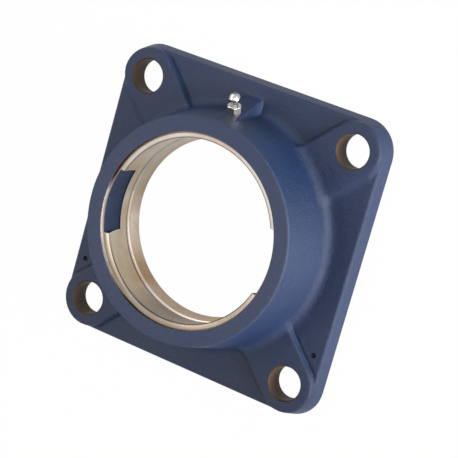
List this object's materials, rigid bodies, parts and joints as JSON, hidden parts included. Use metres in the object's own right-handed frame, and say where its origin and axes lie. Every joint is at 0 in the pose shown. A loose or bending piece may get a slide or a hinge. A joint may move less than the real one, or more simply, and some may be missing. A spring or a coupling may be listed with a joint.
{
  "type": "flanged bearing housing",
  "caption": "Square flanged cast housing with a spherical bearing seat, loading slots, raised corner pads with bolt holes and a grease nipple.",
  "frame": {"origin": "where the bore's axis meets the mounting face, which is also the middle of the underside", "axes": "+Z along the bore's axis from the mounting face to the nose, +Y towards the grease nipple, +X to the right seen from the nose"},
  "size_m": [0.13, 0.13, 0.0345],
  "materials": {
    "painted_casting": "satin blue enamel on the cast surfaces, bare turned metal in the bore and the bolt holes",
    "plated_steel": "bright zinc plate",
    "spring_steel": "drawn wire",
    "ball_steel": "polished"
  },
  "bodies": {
    "casting": {"housing": "painted_casting", "grease_nipple": "plated_steel", "nipple_spring": "spring_steel"},
    "check_ball": {"nipple_ball": "ball_steel"}
  },
  "joints": [
    {"name": "valve_slide", "type": "slide", "parent": "casting", "child": "check_ball", "axis": [0, -0.9063, -0.4226], "range_m": [0, 0.0008], "stiffness_N_per_m": 150, "springref_m": -0.0005, "deforming": ["nipple_spring"]}
  ]
}
